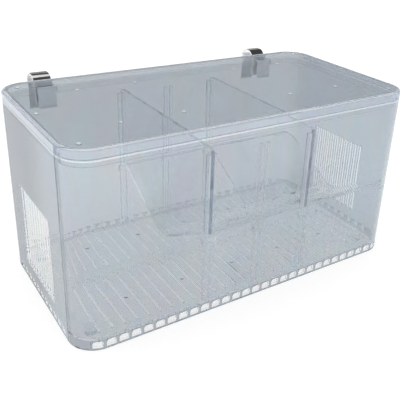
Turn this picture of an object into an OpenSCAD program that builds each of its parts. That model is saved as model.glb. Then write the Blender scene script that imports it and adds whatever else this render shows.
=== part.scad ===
// Hanging fish breeding box: a clear tank with slotted ends and a slotted floor,
// two lift-out dividers, a V-shaped spawning trap, a lift-off lid and two steel hooks.
// Millimetres. +Z is up, +Y points to the back wall that carries the hooks.
// The origin lies on the standing plane, under the middle of the tank.

/* [Tank] */
// Outer width of the tank, along X
tank_w = 270; // [240:1:310]
// Outer depth of the tank, along Y
tank_d = 139; // [126:1:160]
// Height of the tank rim above the standing plane
rim_z = 130.3; // [122:0.1:150]
// Thickness of the tank walls
wall = 2.4; // [1.8:0.1:3]
// Outer radius of the upright corners
corner_r = 19; // [12:1:24]

/* [Floor] */
// Height of the underside of the floor
floor_z = 6.5; // [5.5:0.1:8]
// Thickness of the floor
floor_t = 2; // [1.6:0.1:3]
// Width of a floor slot
slot_w = 2.2; // [1.6:0.1:2.6]
// Distance between floor slots, and between the windows of the skirt
slot_pitch = 8.7; // [7.8:0.1:9.6]
// Distance from the end of a floor slot to the wall
slot_margin = 6; // [4:0.5:10]
// Solid strip across the middle of the floor, between the slot rows
strip_d = 12; // [10:0.5:16]
// Width of a drain window in the middle strip, along X
drain_w = 5.8; // [4:0.1:6]
// Depth of a drain window in the middle strip, along Y
drain_d = 2.4; // [1.6:0.1:3]
// Diameter of a foot under a corner of the floor
foot_dia = 8; // [6:0.5:12]
// Distance of a foot from the tank centre, along X
foot_x = 119.5; // [100:0.5:122]
// Distance of a foot from the tank centre, along Y
foot_y = 50; // [40:0.5:53]

/* [Skirt windows] */
// Width of a window in the skirt under the floor
window_w = 6.7; // [5:0.1:7]
// Height of the sill under a window
window_sill = 1.4; // [1:0.1:2.5]
// Radius of the upper corners of a window
window_r = 2; // [1:0.1:2.4]

/* [End grilles] */
// Number of slots in an end wall
grille_count = 11; // [6:1:12]
// Distance between slots of an end wall
grille_pitch = 5.5; // [5:0.1:6.4]
// Width of a slot in an end wall
grille_w = 3.6; // [1.6:0.1:4]
// Lower end of the slots of an end wall
grille_low = 15; // [12:0.5:25]
// Upper end of the slots of an end wall
grille_high = 77; // [60:0.5:100]

/* [Guide rails] */
// Distance of a divider from the middle of the tank
divider_x = 41; // [30:0.5:60]
// Width of a guide rib
rail_w = 2; // [1.4:0.1:3]
// Height of a guide rib over the wall
rail_d = 3; // [2:0.1:4]
// Upper end of the guide ribs
rail_top = 118; // [100:0.5:119]
// Reach of a bracket under the trap, from the wall
bracket_d = 4.7; // [4:0.1:4.8]
// Width of a bracket under the trap
bracket_w = 10; // [8:0.5:14]
// Thickness of a bracket under the trap
bracket_t = 1.8; // [1.2:0.1:3]

/* [Dividers] */
// Thickness of a divider
divider_t = 2.4; // [1.8:0.1:3]
// Upper edge of a divider
divider_top = 121.5; // [119:0.5:122]
// Radius of the upper corners of a divider
divider_r = 3; // [1:0.5:6]

/* [Spawning trap] */
// Upper face of the trap flange
trap_top = 60.5; // [50:0.5:80]
// Lower edge of the slanted trap panels
trap_low = 26; // [15:0.5:35]
// Thickness of the trap panels
trap_t = 2; // [1.5:0.1:3]
// Width of the gap between the panels
trap_gap = 10; // [5:0.5:20]
// Width of the flange along the top of a panel
trap_flange = 2.3; // [2:0.1:5]
// Width of a bridge across the gap
bridge_w = 4; // [3:0.5:8]

/* [Lid] */
// Height of the lid above the tank rim
lid_h = 6.4; // [5.5:0.1:9]
// Thickness of the lid plate
lid_t = 2.4; // [1.8:0.1:3]
// Radius of the upper edge of the lid
lid_edge_r = 1.6; // [0.8:0.1:2]
// Depth of the lid lip inside the tank
lip_h = 5; // [3:0.1:6]
// Thickness of the lid lip
lip_t = 1.6; // [1.2:0.1:2.4]

/* [Hooks] */
// Distance of the left hook from the left end of the tank
hook_left_in = 35.5; // [31:0.5:55]
// Distance of the right hook from the right end of the tank
hook_right_in = 38; // [31:0.5:55]
// Width of the steel strip
hook_w = 13; // [10:0.5:18]
// Thickness of the steel strip
hook_t = 1; // [0.8:0.1:1.2]
// Lower end of the leg inside the tank
hook_in_z = 117; // [100:0.5:120]
// Space between the tank and the folded part of the strip behind it
fold_gap = 3.7; // [2:0.1:6]
// Middle of the bend at the lower end of the fold
fold_z = 116.5; // [100:0.5:120]
// Widest aquarium pane that a hook takes
pane_gap = 15; // [12:0.5:20]
// Inner radius of the two bends over the pane
arch_r = 5.5; // [3:0.5:5.5]
// Upper face of the strip over the pane
arch_top = 137.8; // [137.5:0.1:150]
// Lower end of the straight leg behind the pane
hook_out_z = 109; // [80:0.5:118]

/* [Ejector domes] */
// Height of an ejector dome
dome_h = 0.6; // [0.3:0.1:1]
// Radius of the sphere that a dome is cut from
dome_r = 2.5; // [2:0.1:3]
// Distance between domes along X
dome_pitch = 44; // [36:1:48]
// Distance of the dome rows from the middle, along Y
dome_y = 36; // [25:1:45]
// Distance of the outer domes of the lid from the inner face of its lip
dome_inset = 2.6; // [2:0.1:6]

/* [Fits] */
// Gap between parts that rest on each other
seat_gap = 0.2; // [0.1:0.05:0.4]
// Gap on each side of a divider in its guide
slide_gap = 0.3; // [0.2:0.05:0.5]
// Gap between the lid lip and the tank wall
lip_gap = 0.4; // [0.2:0.05:0.6]
// Gap around the trap
trap_gap_side = 0.6; // [0.3:0.05:1]
// Gap around a hook in its notch
hook_gap = 0.3; // [0.2:0.05:0.5]

/* [Hidden] */
$fn = 64;

// Depth by which joined solids run into each other, and by which cutters run past
join = 0.6;
past = 1;

// Inner faces of the tank
in_x = tank_w / 2 - wall;
in_y = tank_d / 2 - wall;
in_r = corner_r - wall;
floor_top = floor_z + floor_t;

// Guide rails and the brackets that carry the trap
rail_y = in_y - rail_d;
channel_w = divider_t + 2 * slide_gap;
flange_low = trap_top - trap_t;
bracket_top = flange_low - seat_gap;
gusset_h = bracket_d;
stop_top = trap_top + seat_gap;

// Trap panel: outline in Y and Z
trap_x0 = -divider_x + divider_t / 2 + seat_gap;
trap_x1 = in_x - trap_gap_side;
flange_y = rail_y - seat_gap;
knee_y = flange_y - trap_flange;
gap_y = trap_gap / 2;
panel_tv = trap_t * norm([knee_y - gap_y, trap_top - trap_low - trap_t]) / (knee_y - gap_y);
panel_slope = (trap_top - trap_low - panel_tv) / (knee_y - gap_y);
under_knee_y = gap_y + (flange_low - trap_low) / panel_slope;
bridge_x = [
    trap_x0 + bridge_w / 2,
    0,
    divider_x,
    (divider_x + trap_x1) / 2,
    trap_x1 - bridge_w / 2
];

// Divider outline
divider_y = in_y - slide_gap;
shoulder_z = stop_top + seat_gap;
point_z = trap_low + panel_tv + shoulder_z - trap_top;

// Lid
lid_z = rim_z + seat_gap;
lid_top = lid_z + lid_h;
lid_under = lid_top - lid_t;
lip_x = in_x - lip_gap;
lip_y = in_y - lip_gap;
lip_r = in_r - lip_gap;
lip_in_x = lip_x - lip_t;
lip_in_y = lip_y - lip_t;
dome_corner = (lip_r - lip_t) * (1 - sqrt(1 / 2)) + dome_inset * sqrt(2);

// Hook strip: outline in Y and Z
notch_z = rim_z - hook_t - 2 * hook_gap / 3;
strip_low = notch_z + hook_gap / 3;
strip_high = strip_low + hook_t;
bend_r = 0.3;
leg_y = in_y - seat_gap;
fold_r = 0.5;
fold_y = tank_d / 2 + fold_gap + hook_t + fold_r;
pane_y0 = fold_y + fold_r + hook_t;
pane_y1 = pane_y0 + pane_gap;
arch_z = arch_top - hook_t - arch_r;
hook_xs = [hook_left_in - tank_w / 2, tank_w / 2 - hook_right_in];
curl_r = 3;
curl_angle = 50;

CLEAR = [0.80, 0.85, 0.89, 0.45];
CLEAR_LID = [0.76, 0.81, 0.86, 0.45];
STEEL = [0.62, 0.63, 0.65];

// Rectangle of size x by y with corners of radius r, centred
module round_rect(x, y, r) {
    square([x, y - 2 * r], center = true);
    square([x - 2 * r, y], center = true);
    for (sx = [-1, 1], sy = [-1, 1])
        translate([sx * (x / 2 - r), sy * (y / 2 - r)])
            circle(r);
}

// Slot of width w from (0, 0) to (0, len), with round ends inside that length
module slot_2d(w, len) {
    translate([-w / 2, w / 2])
        square([w, len - w]);
    for (y = [w / 2, len - w / 2])
        translate([0, y])
            circle(w / 2, $fn = 24);
}

// Rectangle of width w and height h on the X axis, with round upper corners
module arch_2d(w, h, r) {
    translate([-w / 2, 0])
        square([w, h - r]);
    translate([-w / 2 + r, 0])
        square([w - 2 * r, h]);
    for (s = [-1, 1])
        translate([s * (w / 2 - r), h - r])
            circle(r, $fn = 32);
}

// Part of a ring between two radii, from angle a0 through sweep degrees, sweep up to 90
module ring_sector(r_in, r_out, a0, sweep) {
    far = 2 * r_out;
    intersection() {
        difference() {
            circle(r_out);
            circle(r_in);
        }
        polygon([[0, 0], far * [cos(a0), sin(a0)], far * [cos(a0 + sweep), sin(a0 + sweep)]]);
    }
}

// Low round dome that stands up from the plane z = 0
module dome() {
    intersection() {
        translate([0, 0, dome_h - dome_r])
            sphere(dome_r, $fn = 32);
        translate([0, 0, -join])
            cylinder(r = dome_r, h = join + dome_h);
    }
}

// Domes in two rows
module dome_rows(steps) {
    for (i = steps, s = [-1, 1])
        translate([i * dome_pitch, s * dome_y, 0])
            dome();
}

// Upright walls and the skirt under the floor, with their windows and slots
module tank_walls() {
    side_steps = floor((tank_w / 2 - wall - window_w / 2 - 4) / slot_pitch);
    end_steps = floor((tank_d / 2 - corner_r - window_w / 2) / slot_pitch);
    window_h = floor_z - window_sill;
    difference() {
        linear_extrude(rim_z)
            difference() {
                round_rect(tank_w, tank_d, corner_r);
                round_rect(2 * in_x, 2 * in_y, in_r);
            }
        for (i = [-side_steps:side_steps])
            translate([i * slot_pitch, tank_d / 2 + past, window_sill])
                rotate([90, 0, 0])
                    linear_extrude(tank_d + 2 * past)
                        arch_2d(window_w, window_h, window_r);
        for (i = [-end_steps:end_steps])
            translate([-tank_w / 2 - past, i * slot_pitch, window_sill])
                rotate([90, 0, 90])
                    linear_extrude(tank_w + 2 * past)
                        arch_2d(window_w, window_h, window_r);
        for (i = [0:grille_count - 1])
            translate([-tank_w / 2 - past, (i - (grille_count - 1) / 2) * grille_pitch, grille_low])
                rotate([90, 0, 90])
                    linear_extrude(tank_w + 2 * past)
                        slot_2d(grille_w, grille_high - grille_low);
        for (x = hook_xs)
            translate([x - hook_w / 2 - hook_gap, in_y - past, notch_z])
                cube([hook_w + 2 * hook_gap, wall + 2 * past, rim_z - notch_z + past]);
    }
}

// Floor plate with two rows of slots and the drain windows between them
module tank_floor() {
    steps = floor((in_x - slot_margin - slot_w / 2) / slot_pitch - 0.5);
    slot_len = in_y - slot_margin - strip_d / 2;
    row_x0 = -(steps + 0.5) * slot_pitch;
    translate([0, 0, floor_z])
        linear_extrude(floor_t)
            difference() {
                round_rect(2 * (in_x + join), 2 * (in_y + join), in_r + join);
                for (i = [0:2 * steps + 1], s = [0, 1])
                    rotate(180 * s)
                        translate([row_x0 + i * slot_pitch, strip_d / 2])
                            slot_2d(slot_w, slot_len);
                for (i = [-steps:steps])
                    translate([i * slot_pitch + drain_w / 2, -strip_d / 4 - drain_d / 2])
                        rotate(90)
                            slot_2d(drain_d, drain_w);
            }
}

// Two guide ribs on the front wall, and the stop between them that carries a divider
module guide_rail() {
    for (s = [-1, 1])
        translate([s * (channel_w + rail_w) / 2 - rail_w / 2, -in_y - join, floor_top - join])
            cube([rail_w, rail_d + join, rail_top - floor_top + join]);
    translate([-channel_w / 2 - join, -in_y - join, bracket_top - gusset_h])
        cube([channel_w + 2 * join, rail_d + join, stop_top - bracket_top + gusset_h]);
}

// Bracket with a gusset on the front wall, which carries the trap flange
module trap_bracket() {
    translate([-bracket_w / 2, 0, 0])
        rotate([90, 0, 90])
            linear_extrude(bracket_w)
                polygon([
                    [-in_y - join, bracket_top],
                    [-in_y + bracket_d, bracket_top],
                    [-in_y + bracket_d, bracket_top - bracket_t],
                    [-in_y, bracket_top - bracket_t - gusset_h],
                    [-in_y - join, bracket_top - bracket_t - gusset_h]
                ]);
}

// Ledges in the two right-hand corners, which carry the end of the trap
module corner_ledges() {
    translate([0, 0, bracket_top - bracket_t])
        linear_extrude(bracket_t)
            intersection() {
                round_rect(2 * (in_x + join), 2 * (in_y + join), in_r + join);
                for (turn = [0, 1])
                    mirror([0, turn])
                        translate([in_x - in_r, in_y - bracket_d])
                            square([in_r, bracket_d + join]);
            }
}

// The moulded tank
module tank() {
    color(CLEAR) {
        tank_walls();
        tank_floor();
        for (x = [-divider_x, 0, divider_x], turn = [0, 180])
            rotate(turn)
                translate([x, 0, 0]) {
                    guide_rail();
                    trap_bracket();
                }
        corner_ledges();
        for (sx = [-1, 1], sy = [-1, 1])
            translate([sx * foot_x, sy * foot_y, 0])
                cylinder(d = foot_dia, h = floor_z + join);
        translate([0, 0, floor_top])
            dome_rows([-2:2]);
    }
}

// Lid blank of height h with a round upper edge, standing on z = 0
module lid_blank(h) {
    module bar(across, along) {
        rotate([90, 0, 0])
            translate([0, 0, -along / 2])
                linear_extrude(along)
                    arch_2d(across, h, lid_edge_r);
    }
    bar(tank_w, tank_d - 2 * corner_r);
    rotate(90)
        bar(tank_d, tank_w - 2 * corner_r);
    for (sx = [-1, 1], sy = [-1, 1])
        translate([sx * (tank_w / 2 - corner_r), sy * (tank_d / 2 - corner_r), 0])
            rotate_extrude()
                intersection() {
                    arch_2d(2 * corner_r, h, lid_edge_r);
                    square([corner_r, h]);
                }
}

// The lift-off lid, with a lip that drops inside the tank walls
module lid() {
    color(CLEAR_LID) {
        difference() {
            union() {
                translate([0, 0, lid_z])
                    lid_blank(lid_h);
                translate([0, 0, lid_z - lip_h])
                    linear_extrude(lip_h + join)
                        round_rect(2 * lip_x, 2 * lip_y, lip_r);
            }
            translate([0, 0, lid_z - lip_h - past])
                linear_extrude(lid_under - lid_z + lip_h + past)
                    round_rect(2 * lip_in_x, 2 * lip_in_y, lip_r - lip_t);
            for (x = hook_xs)
                translate([x - hook_w / 2 - 2 * hook_gap, lip_in_y - past, lid_z - lip_h - past])
                    cube([hook_w + 4 * hook_gap, lip_t + 2 * past, lip_h + past]);
        }
        translate([0, 0, lid_under])
            mirror([0, 0, 1]) {
                dome_rows([-2, -1, 1, 2]);
                for (sx = [-1, 1]) {
                    translate([sx * (lip_in_x - dome_inset), 0, 0])
                        dome();
                    for (sy = [-1, 1])
                        translate([sx * (lip_in_x - dome_corner), sy * (lip_in_y - dome_corner), 0])
                            dome();
                }
            }
    }
}

// A lift-out divider in the plane x = 0, with a V-shaped lower edge over the trap
module divider() {
    color(CLEAR)
        translate([-divider_t / 2, 0, 0])
            rotate([90, 0, 90])
                linear_extrude(divider_t) {
                    translate([0, shoulder_z])
                        arch_2d(2 * divider_y, divider_top - shoulder_z, divider_r);
                    polygon([
                        [-knee_y, shoulder_z + join],
                        [-knee_y, shoulder_z],
                        [-gap_y, point_z],
                        [gap_y, point_z],
                        [knee_y, shoulder_z],
                        [knee_y, shoulder_z + join]
                    ]);
                }
}

// The V-shaped trap: two slanted panels with flanges, joined by bridges across the gap
module spawning_trap() {
    panel = [
        [gap_y, trap_low],
        [under_knee_y, flange_low],
        [flange_y, flange_low],
        [flange_y, trap_top],
        [knee_y, trap_top],
        [gap_y, trap_low + panel_tv]
    ];
    color(CLEAR) {
        intersection() {
            translate([trap_x0, 0, 0])
                rotate([90, 0, 90])
                    linear_extrude(trap_x1 - trap_x0) {
                        polygon(panel);
                        mirror([1, 0])
                            polygon(panel);
                    }
            linear_extrude(trap_top + past)
                round_rect(2 * trap_x1, 2 * (in_y - trap_gap_side), in_r - trap_gap_side);
        }
        for (x = bridge_x)
            translate([x - bridge_w / 2, -gap_y - join, trap_low])
                cube([bridge_w, trap_gap + 2 * join, panel_tv]);
    }
}

// A steel hook in the plane x = 0, bent from one strip
module hook() {
    outer_bend = bend_r + hook_t;
    color(STEEL)
        translate([-hook_w / 2, 0, 0])
            rotate([90, 0, 90])
                linear_extrude(hook_w) {
                    // Leg inside the tank, with its curled end
                    translate([leg_y - hook_t, hook_in_z])
                        square([hook_t, strip_low - bend_r - hook_in_z]);
                    translate([leg_y - hook_t - curl_r, hook_in_z])
                        ring_sector(curl_r, curl_r + hook_t, -curl_angle, curl_angle);
                    // Bend and flat over the rim
                    translate([leg_y + bend_r, strip_low - bend_r])
                        ring_sector(bend_r, outer_bend, 90, 90);
                    translate([leg_y + bend_r, strip_low])
                        square([fold_y - fold_r - hook_t - leg_y - 2 * bend_r, hook_t]);
                    translate([fold_y - fold_r - hook_t - bend_r, strip_low - bend_r])
                        ring_sector(bend_r, outer_bend, 0, 90);
                    // Fold behind the tank
                    translate([fold_y - fold_r - hook_t, fold_z])
                        square([hook_t, strip_low - bend_r - fold_z]);
                    for (a = [180, 270])
                        translate([fold_y, fold_z])
                            ring_sector(fold_r, fold_r + hook_t, a, 90);
                    translate([fold_y + fold_r, fold_z])
                        square([hook_t, arch_z - fold_z]);
                    // Two bends and the flat over the pane
                    translate([pane_y0 + arch_r, arch_z])
                        ring_sector(arch_r, arch_r + hook_t, 90, 90);
                    translate([pane_y0 + arch_r, arch_z + arch_r])
                        square([pane_gap - 2 * arch_r, hook_t]);
                    translate([pane_y1 - arch_r, arch_z])
                        ring_sector(arch_r, arch_r + hook_t, 0, 90);
                    // Leg behind the pane, with its curled end
                    translate([pane_y1, hook_out_z])
                        square([hook_t, arch_z - hook_out_z]);
                    translate([pane_y1 + hook_t + curl_r, hook_out_z])
                        ring_sector(curl_r, curl_r + hook_t, 180, curl_angle);
                }
}

tank();
lid();
translate([-divider_x, 0, 0]) divider();  // divider_left
translate([divider_x, 0, 0]) divider();  // divider_right
spawning_trap();
translate([hook_xs[0], 0, 0]) hook();  // hook_left
translate([hook_xs[1], 0, 0]) hook();  // hook_right
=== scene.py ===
import math

import bpy
from mathutils import Matrix, Vector

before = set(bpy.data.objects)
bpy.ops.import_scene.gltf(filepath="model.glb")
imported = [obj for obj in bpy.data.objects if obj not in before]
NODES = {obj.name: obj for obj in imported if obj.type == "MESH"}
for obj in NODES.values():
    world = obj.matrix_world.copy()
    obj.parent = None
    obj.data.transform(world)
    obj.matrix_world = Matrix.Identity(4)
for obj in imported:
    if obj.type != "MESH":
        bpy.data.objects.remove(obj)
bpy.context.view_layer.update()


def corners(name):
    """The lowest and the highest corner of a solid's box, in its own coordinates."""
    sides = list(zip(*NODES[name].bound_box))
    return [min(side) for side in sides], [max(side) for side in sides]


scene = bpy.context.scene

# ---------------------------------------------------------------- sizes, in metres
# Half sizes of the tank and the height of its rim
HALF_X, HALF_Y, RIM_TOP = corners("tank")[1]
# Height of the lid's top, and the front edge of the dividers
LID_TOP = corners("lid")[1][2]
SHEET_FRONT = -corners("divider_left")[0][1]
# Corner radius of the tank and the lid, and the height of the tank's floor
CORNER_R, FLOOR_TOP = 0.019, 0.0085
# How far a point may lie off a wall or off a flat face and still count as on it
WALL_DEPTH, FLAT_DEPTH = 0.0003, 0.00003
# Widths of the borders, left bare of painted shade, along the lid's flat top and along the rim of the tank
LID_BORDER, RIM_BORDER = 0.0024, 0.0010
# Height of the painted shade along the foot of the lid's skirt, and how far below its floor the tank's
# painted shade at the foot starts
LID_FOOT, TANK_FOOT = 0.0009, 0.0008
# Stretch of Y over which the lid's skirt turns bare of its tint and painted shade, and of -Y over which the
# painted shade of the left end lightens
SKIRT_FADE, LEFT_FRONT_FADE = (0.050, 0.066), (-0.01, 0.045)
# Shares of the corner radius, in from each face, between which the face's painted shade fades in
LEFT_FADE, RIGHT_FADE, BACK_FADE = (0.06, 0.002), (0.6, 0.05), (1, 0.1)
# Depths behind the front edge of the dividers between which their painted shade sets in
EDGE_FADE = (0.0012, 0.0004)
# Ejector marks of the floor and the lid, in the quarter where x and y are positive; they are left bare of
# painted shade, so they read as light dots
MARK_R = 0.0013
MARKS = {
    "tank": [(0, 0.036), (0.044, 0.036), (0.088, 0.036)],
    "lid": [(0.044, 0.036), (0.088, 0.036), (0.128, 0), (0.12265, 0.05715)],
}
# Left end grille, which is left bare of the left end's painted shade: half width, middle height and half
# height
GRILLE_HALF, GRILLE_MIDDLE, GRILLE_RISE = 0.0293, 0.046, 0.031
# Rounded edges of the inserts
WELD, BEVEL, BEVEL_STEPS, BEVEL_ANGLE = 0.000005, 0.0004, 3, math.radians(35)

# ---------------------------------------------------------------- colours
# Bare plastic, the inserts and the painted shade along the front edge of the dividers
BARE = (0.97, 0.975, 0.985)
INSERT = (0.945, 0.953, 0.962)
DIVIDER_EDGE_SHADE = (0.20, 0.26, 0.34)
# Grey tint of the plastic with painted shade on the large faces, varied face by face for how light falls on
# each: the left end darkest, the foot below the floor darker, the floor top lightest
TANK_TINT_AND_SHADE = (0.44, 0.49, 0.54)
LEFT_END_SHADE = (0.085, 0.105, 0.13)
LEFT_FRONT_SHADE = (0.235, 0.285, 0.335)
RIGHT_END_SHADE = (0.39, 0.44, 0.49)
BACK_WALL_SHADE = (0.61, 0.64, 0.67)
FLOOR_TINT_AND_SHADE = (0.77, 0.81, 0.85)
FOOT_SHADE = (0.22, 0.26, 0.31)
SKIRT_TINT_AND_SHADE = (0.44, 0.50, 0.58)
LID_TINT_AND_SHADE = (0.345, 0.395, 0.445)
# Faint hues that stress in the moulding adds, and how strongly the tank and the lid show them
STRESS = [
    (0.34, (0.96, 1.0, 0.99)),
    (0.43, (1.0, 0.945, 0.96)),
    (0.50, (1.0, 0.99, 0.93)),
    (0.57, (0.93, 0.99, 0.965)),
    (0.66, (0.97, 0.95, 1.0)),
]
TANK_STRESS, LID_STRESS = 0.6, 0.25
# Colour inside the plastic, and how dense it is in the mouldings and in the thinner inserts
INSIDE = (0.62, 0.70, 0.82)
MOULDING_DENSITY, INSERT_DENSITY = 2.5, 0.4
PLASTIC_IOR, PLASTIC_ROUGH = 1.5, (0.01, 0.04)
STEEL_ROUGH = (0.10, 0.22)

# ---------------------------------------------------------------- patterns
# Uneven tint of the moulding: levels of its noise, and the share of the tint at each
FLOW_NOISE = {"Scale": 9.0, "Detail": 3.0, "Roughness": 0.5, "Distortion": 1.2}
FLOW = [(0.35, 0.96), (0.65, 1.04)]
# Soft upright bands of the stress colours
STRESS_NOISE = {"Scale": 26.0, "Detail": 1.0, "Roughness": 0.4, "Distortion": 0.8}
STRESS_STRETCH = (1.0, 1.0, 0.35)
# Slow waves in the surface of the plastic
WAVE_NOISE = {"Scale": 35.0, "Detail": 2.0, "Roughness": 0.4}
WAVE_STRENGTH, WAVE_HEIGHT = 0.15, 0.0006
# Fine scuffs, and the levels of their noise between which the plastic turns rougher
SCUFF_NOISE = {"Scale": 260.0, "Detail": 4.0, "Roughness": 0.6}
SCUFF_LEVELS = (0.4, 0.7)
# Fine lines along the steel strip: levels of their noise, and the tone at each
GRAIN_NOISE = {"Scale": 2600.0, "Detail": 3.0, "Roughness": 0.6}
GRAIN_STRETCH = (1.0, 0.06, 0.06)
GRAIN = [(0.3, 0.84), (0.7, 0.93)]
GRAIN_STRENGTH, GRAIN_HEIGHT = 0.25, 0.00005

# ---------------------------------------------------------------- studio and camera
FLOOR_HALF, FLOOR_DROP = 6, 0.0002
FLOOR_GREY, FLOOR_GLOW = 0.36, 0.74
# Level of the mirrored room by the height of the ray's direction
CEILING = [(0.14, 1), (0.20, 0.34), (0.28, 0.24), (0.34, 0.14), (0.45, 0.04)]
KEY_AT, KEY_AIM = (-0.12, 0.22, 1.1), (0, 0, 0.07)
KEY_SIZE, KEY_POWER = 0.9, 2.0
CAMERA_AT = (-0.2300, -0.3558, 0.2655)
YAW, PITCH, ROLL = 0.6125, 0.4287, 0.0539
SENSOR, LENS, SHIFT, CLIP_START = 36, 54.35, -0.075, 0.01
# Enough for the light that runs along inside the edges
BOUNCES = 160

# Sockets of a colour Mix node
MIX_FACTOR, MIX_A, MIX_B, MIX_OUT = 0, 6, 7, 2


# ---------------------------------------------------------------- node helpers
# A source is a pair: a node, and the name or number of one of its outputs
def grey(level):
    return (level, level, level)


def greys(stops):
    """The stops of a ramp from pairs of a position and a level of grey."""
    return [(at, grey(level)) for at, level in stops]


def new_material(name):
    mat = bpy.data.materials.new(name)
    mat.use_nodes = True
    mat.node_tree.nodes.clear()
    return mat, mat.node_tree


def add(tree, kind, **values):
    """A node with the given sockets and settings."""
    node = tree.nodes.new(kind)
    for key, value in values.items():
        if key in node.inputs:
            node.inputs[key].default_value = value
        else:
            setattr(node, key, value)
    return node


def link(tree, source, node, into):
    origin, out = source
    tree.links.new(origin.outputs[out], node.inputs[into])


def math_node(tree, operation, *sources, clamp=False):
    """The result of a Math node whose inputs are sources or plain numbers."""
    node = add(tree, "ShaderNodeMath", operation=operation, use_clamp=clamp)
    for i, source in enumerate(sources):
        if isinstance(source, tuple):
            link(tree, source, node, i)
        else:
            node.inputs[i].default_value = source
    return node, 0


def vector_node(tree, operation, source, other=(0, 0, 0), out="Vector"):
    """The result of a Vector Math node on a source and a plain vector."""
    node = add(tree, "ShaderNodeVectorMath", operation=operation)
    link(tree, source, node, 0)
    node.inputs[1].default_value = other
    return node, out


def axes_of(tree, source):
    node = add(tree, "ShaderNodeSeparateXYZ")
    link(tree, source, node, 0)
    return [(node, axis) for axis in "XYZ"]


def map_range(tree, source, low, high, start, end, curve="LINEAR"):
    node = add(tree, "ShaderNodeMapRange", interpolation_type=curve)
    for socket, value in (("From Min", low), ("From Max", high), ("To Min", start), ("To Max", end)):
        node.inputs[socket].default_value = value
    link(tree, source, node, "Value")
    return node, "Result"


def fade(tree, source, low, high):
    """0 below low and 1 above high, with a smooth step between them."""
    return map_range(tree, source, low, high, 0, 1, "SMOOTHSTEP")


def ramp(tree, source, stops):
    node = tree.nodes.new("ShaderNodeValToRGB")
    while len(node.color_ramp.elements) < len(stops):
        node.color_ramp.elements.new(0.5)
    for element, (pos, colour) in zip(node.color_ramp.elements, stops):
        element.position = pos
        element.color = (*colour, 1)
    link(tree, source, node, "Fac")
    return node, "Color"


def noise(tree, source, pattern):
    node = add(tree, "ShaderNodeTexNoise", **pattern)
    link(tree, source, node, "Vector")
    return node, "Fac"


def stretched(tree, source, scale):
    node = add(tree, "ShaderNodeMapping", Scale=scale)
    link(tree, source, node, "Vector")
    return node, "Vector"


def bump(tree, source, strength, distance):
    node = add(tree, "ShaderNodeBump", Strength=strength, Distance=distance)
    link(tree, source, node, "Height")
    return node, "Normal"


def tint_by(tree, mask, colour, shade):
    """The colour, and where the mask is 1 the shade. Both are sources or RGB triples."""
    node = add(tree, "ShaderNodeMix", data_type="RGBA")
    link(tree, mask, node, MIX_FACTOR)
    for source, socket in ((colour, MIX_A), (shade, MIX_B)):
        if len(source) == 2:
            link(tree, source, node, socket)
        else:
            node.inputs[socket].default_value = (*source, 1)
    return node, MIX_OUT


# ---------------------------------------------------------------- clear plastic
def inset_of(tree, place):
    """How far a point lies outside the tank's rounded outline: 0 on the outer faces, less inside."""
    size = vector_node(tree, "ABSOLUTE", place)
    # a metre off z keeps the height out of the distance
    past = vector_node(tree, "SUBTRACT", size, (HALF_X - CORNER_R, HALF_Y - CORNER_R, 1))
    corner = vector_node(tree, "MAXIMUM", past)
    reach = vector_node(tree, "LENGTH", corner, out="Value")
    return math_node(tree, "SUBTRACT", reach, CORNER_R)


def lid_tint_and_shade(tree, axes, inset, colour):
    """The mask of the lid's flat top, and the lid's colour: its grey tint with painted shade."""
    y, z = axes[1:]
    flat = math_node(tree, "COMPARE", z, LID_TOP, FLAT_DEPTH)
    middle = math_node(tree, "LESS_THAN", inset, -LID_BORDER)
    flat = math_node(tree, "MULTIPLY", flat, middle)
    # painted shade along the foot of the skirt and on the flat top; towards the back the skirt turns bare
    foot = math_node(tree, "LESS_THAN", z, RIM_TOP + LID_FOOT)
    colour = tint_by(tree, foot, colour, LID_TINT_AND_SHADE)
    colour = tint_by(tree, fade(tree, y, *SKIRT_FADE), colour, BARE)
    return flat, tint_by(tree, flat, colour, LID_TINT_AND_SHADE)


def tank_tint_and_shade(tree, axes, colour):
    """The masks of the tank's floor top and of its walls below the rim, and the tank's colour: its grey tint
    with painted shade.
    """
    x, y, z = axes
    flat = math_node(tree, "COMPARE", z, FLOOR_TOP, FLAT_DEPTH)
    under = math_node(tree, "LESS_THAN", z, RIM_TOP - RIM_BORDER)
    # the floor top gets its own grey tint with painted shade
    colour = tint_by(tree, flat, colour, FLOOR_TINT_AND_SHADE)
    # painted shade below the floor
    foot = math_node(tree, "LESS_THAN", z, FLOOR_TOP - TANK_FOOT)
    colour = tint_by(tree, foot, colour, FOOT_SHADE)
    # painted shade of the left end, the right end and the back wall, fading in round the corners; the left
    # end's lightens towards the front
    left = math_node(tree, "MULTIPLY", x, -1)
    front = math_node(tree, "MULTIPLY", y, -1)
    left_shade = tint_by(tree, fade(tree, front, *LEFT_FRONT_FADE), LEFT_END_SHADE, LEFT_FRONT_SHADE)
    for source, half, (inner, outer), face_shade in (
        (left, HALF_X, LEFT_FADE, left_shade),
        (x, HALF_X, RIGHT_FADE, RIGHT_END_SHADE),
        (y, HALF_Y, BACK_FADE, BACK_WALL_SHADE),
    ):
        face = fade(tree, source, half - inner * CORNER_R, half - outer * CORNER_R)
        colour = tint_by(tree, face, colour, face_shade)
    return flat, under, colour


def with_marks(tree, place, marks, flat, bare):
    """The bare mask with the ejector marks of a flat face, which are mirrored into one quarter. Left bare of
    painted shade, the marks read as light dots.
    """
    size = vector_node(tree, "ABSOLUTE", place)
    plan = vector_node(tree, "MULTIPLY", size, (1, 1, 0))
    for x, y in marks:
        reach = vector_node(tree, "DISTANCE", plan, (x, y, 0), out="Value")
        spot = math_node(tree, "LESS_THAN", reach, MARK_R)
        spot = math_node(tree, "MULTIPLY", spot, flat)
        bare = math_node(tree, "MAXIMUM", bare, spot)
    return bare


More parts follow.
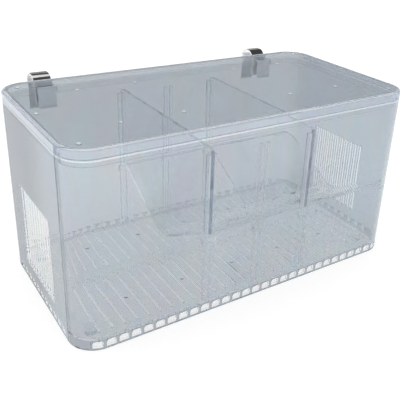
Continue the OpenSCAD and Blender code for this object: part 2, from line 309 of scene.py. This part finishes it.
def with_grille(tree, axes, bare):
    """The bare mask with the bars of the left end grille, which stay out of the left end's painted shade."""
    x, y, z = axes
    width = math_node(tree, "COMPARE", y, 0, GRILLE_HALF)
    height = math_node(tree, "COMPARE", z, GRILLE_MIDDLE, GRILLE_RISE)
    window = math_node(tree, "MULTIPLY", width, height)
    left = math_node(tree, "LESS_THAN", x, 0)
    window = math_node(tree, "MULTIPLY", window, left)
    return math_node(tree, "MAXIMUM", bare, window)


def tinted_and_shaded(tree, place, kind, colour):
    """The plastic's grey tint with painted shade, which differs from face to face for how light falls on
    each. Edges, ribs, slots and lips are left bare of it, and so are the ejector marks and the left grille.
    """
    axes = axes_of(tree, place)
    inset = inset_of(tree, place)
    wall = math_node(tree, "GREATER_THAN", inset, -WALL_DEPTH)
    if kind == "lid":
        flat, colour = lid_tint_and_shade(tree, axes, inset, colour)
    else:
        flat, under, colour = tank_tint_and_shade(tree, axes, colour)
        wall = math_node(tree, "MULTIPLY", wall, under)
    # the painted shade lies only on the large faces
    large = math_node(tree, "MAXIMUM", wall, flat)
    bare = math_node(tree, "SUBTRACT", 1, large)
    bare = with_marks(tree, place, MARKS[kind], flat, bare)
    if kind == "tank":
        bare = with_grille(tree, axes, bare)
    return tint_by(tree, bare, colour, BARE)


def with_stress(tree, place, colour, strength):
    """The colour times the hues of stress, in soft upright bands."""
    level = noise(tree, stretched(tree, place, STRESS_STRETCH), STRESS_NOISE)
    node = add(tree, "ShaderNodeMix", data_type="RGBA", blend_type="MULTIPLY")
    node.inputs[MIX_FACTOR].default_value = strength
    link(tree, colour, node, MIX_A)
    link(tree, ramp(tree, level, STRESS), node, MIX_B)
    return node, MIX_OUT


def with_edge_shade(tree, place, colour, edge):
    """The colour, and painted shade along the edge that sits in the front channel."""
    front = math_node(tree, "MULTIPLY", axes_of(tree, place)[1], -1)
    inner, outer = EDGE_FADE
    return tint_by(tree, fade(tree, front, SHEET_FRONT - inner, SHEET_FRONT - outer), colour, edge)


def clear_plastic(name, tint, kind=None, stressed=0, density=MOULDING_DENSITY, edge=None):
    """Clear moulded plastic. The kind of a moulding gives it a grey tint with painted shade, and stress
    colours.
    """
    mat, t = new_material(name)
    place = add(t, "ShaderNodeTexCoord"), "Object"
    stops = [(level, tuple(min(1, share * v) for v in tint)) for level, share in FLOW]
    colour = ramp(t, noise(t, place, FLOW_NOISE), stops)
    # the kind adds the grey tint with painted shade, face by face
    if kind:
        colour = with_stress(t, place, tinted_and_shaded(t, place, kind, colour), stressed)
    # the edge colour is painted shade along the dividers' front edge
    if edge:
        colour = with_edge_shade(t, place, colour, edge)
    waves = noise(t, place, WAVE_NOISE)
    scuffs = noise(t, place, SCUFF_NOISE)
    body = add(t, "ShaderNodeBsdfPrincipled", IOR=PLASTIC_IOR)
    link(t, colour, body, "Base Color")
    link(t, map_range(t, scuffs, *SCUFF_LEVELS, *PLASTIC_ROUGH), body, "Roughness")
    link(t, bump(t, waves, WAVE_STRENGTH, WAVE_HEIGHT), body, "Normal")
    body.inputs["Transmission Weight"].default_value = 1.0
    inside = add(t, "ShaderNodeVolumeAbsorption", Density=density, Color=(*INSIDE, 1))
    out = add(t, "ShaderNodeOutputMaterial")
    link(t, (body, "BSDF"), out, "Surface")
    link(t, (inside, "Volume"), out, "Volume")
    return mat


# the tank and the lid get a grey tint with painted shade, face by face
CLEAR = clear_plastic("clear_plastic", TANK_TINT_AND_SHADE, kind="tank", stressed=TANK_STRESS)
LID = clear_plastic("clear_lid", SKIRT_TINT_AND_SHADE, kind="lid", stressed=LID_STRESS)
INNER = clear_plastic("clear_insert", INSERT, density=INSERT_DENSITY)
# the dividers get painted shade along their front edge
SHEET = clear_plastic("clear_sheet", INSERT, density=INSERT_DENSITY, edge=DIVIDER_EDGE_SHADE)


# ---------------------------------------------------------------- steel
def steel(name):
    """Bright rolled strip with fine lines along its length."""
    mat, t = new_material(name)
    place = add(t, "ShaderNodeTexCoord"), "Object"
    grain = noise(t, stretched(t, place, GRAIN_STRETCH), GRAIN_NOISE)
    body = add(t, "ShaderNodeBsdfPrincipled", Metallic=1.0)
    link(t, ramp(t, grain, greys(GRAIN)), body, "Base Color")
    link(t, map_range(t, grain, 0, 1, *STEEL_ROUGH), body, "Roughness")
    link(t, bump(t, grain, GRAIN_STRENGTH, GRAIN_HEIGHT), body, "Normal")
    out = add(t, "ShaderNodeOutputMaterial")
    link(t, (body, "BSDF"), out, "Surface")
    return mat


STEEL = steel("steel_strip")

# ---------------------------------------------------------------- the solids
for name, mat in {
    "tank": CLEAR,
    "lid": LID,
    "divider_left": SHEET,
    "divider_right": SHEET,
    "spawning_trap": INNER,
    "hook_left": STEEL,
    "hook_right": STEEL,
}.items():
    for slot in NODES[name].material_slots:
        slot.link = "OBJECT"
        slot.material = mat

# rounded edges on the inserts
for name in ("divider_left", "divider_right", "spawning_trap"):
    weld = NODES[name].modifiers.new("weld", "WELD")
    weld.merge_threshold = WELD
    bevel = NODES[name].modifiers.new("bevel", "BEVEL")
    bevel.width = BEVEL
    bevel.segments = BEVEL_STEPS
    bevel.limit_method = "ANGLE"
    bevel.angle_limit = BEVEL_ANGLE
    bevel.harden_normals = True


# ---------------------------------------------------------------- floor
def white_floor(name):
    """A grey that keeps the shadow, and a glow up to white for camera, mirrored and refracted rays."""
    mat, t = new_material(name)
    matt = add(t, "ShaderNodeBsdfDiffuse", Color=(*grey(FLOOR_GREY), 1))
    path = add(t, "ShaderNodeLightPath")
    seen = math_node(t, "MAXIMUM", (path, "Is Camera Ray"), (path, "Is Glossy Ray"))
    seen = math_node(t, "MAXIMUM", seen, (path, "Is Transmission Ray"))
    glow = add(t, "ShaderNodeEmission")
    link(t, math_node(t, "MULTIPLY", seen, FLOOR_GLOW), glow, "Strength")
    both = add(t, "ShaderNodeAddShader")
    link(t, (matt, 0), both, 0)
    link(t, (glow, 0), both, 1)
    out = add(t, "ShaderNodeOutputMaterial")
    link(t, (both, 0), out, "Surface")
    return mat


ends = (-FLOOR_HALF, FLOOR_HALF)
floor_mesh = bpy.data.meshes.new("floor")
floor_mesh.from_pydata([(x, y, -FLOOR_DROP) for x in ends for y in ends], [], [(0, 2, 3, 1)])
floor = bpy.data.objects.new("floor", floor_mesh)
scene.collection.objects.link(floor)
floor_mesh.materials.append(white_floor("floor_white"))


# ---------------------------------------------------------------- light
def studio(name):
    """Plain white, and for rays that are only mirrored a room that darkens towards its ceiling."""
    world = bpy.data.worlds.new(name)
    world.use_nodes = True
    t = world.node_tree
    t.nodes.clear()
    height = axes_of(t, (add(t, "ShaderNodeTexCoord"), "Generated"))[2]
    plain = add(t, "ShaderNodeBackground", Color=(*grey(1), 1), Strength=1.0)
    mirrored = add(t, "ShaderNodeBackground", Strength=1.0)
    link(t, ramp(t, height, greys(CEILING)), mirrored, "Color")
    # a refracted ray is glossy too, and sees the plain white
    path = add(t, "ShaderNodeLightPath")
    only = math_node(t, "SUBTRACT", (path, "Is Glossy Ray"), (path, "Is Transmission Ray"), clamp=True)
    sky = add(t, "ShaderNodeMixShader")
    link(t, only, sky, 0)
    link(t, (plain, 0), sky, 1)
    link(t, (mirrored, 0), sky, 2)
    out = add(t, "ShaderNodeOutputWorld")
    link(t, (sky, 0), out, "Surface")
    return world


scene.world = studio("studio")

lamp = bpy.data.lights.new("key", "AREA")
lamp.shape = "RECTANGLE"
lamp.size = lamp.size_y = KEY_SIZE
lamp.energy = KEY_POWER
key = bpy.data.objects.new("key", lamp)
scene.collection.objects.link(key)
key.location = KEY_AT
key.rotation_euler = (Vector(KEY_AIM) - Vector(KEY_AT)).to_track_quat("-Z", "Y").to_euler()

# ---------------------------------------------------------------- camera
forward = Vector((math.sin(YAW) * math.cos(PITCH), math.cos(YAW) * math.cos(PITCH), -math.sin(PITCH)))
right = Vector((math.cos(YAW), -math.sin(YAW), 0))
up = right.cross(forward)
c, s = math.cos(ROLL), math.sin(ROLL)
right, up = c * right + s * up, -s * right + c * up
turn = Matrix((right, up, -forward)).transposed().to_4x4()
camera = bpy.data.objects.new("camera", bpy.data.cameras.new("camera"))
scene.collection.objects.link(camera)
camera.matrix_world = Matrix.Translation(CAMERA_AT) @ turn
camera.data.sensor_width = SENSOR
camera.data.lens = LENS
camera.data.shift_x = camera.data.shift_y = SHIFT
camera.data.clip_start = CLIP_START
scene.camera = camera

scene.view_settings.view_transform = "Standard"
scene.cycles.max_bounces = BOUNCES
scene.cycles.transmission_bounces = BOUNCES
scene.cycles.glossy_bounces = BOUNCES
scene.cycles.transparent_max_bounces = BOUNCES
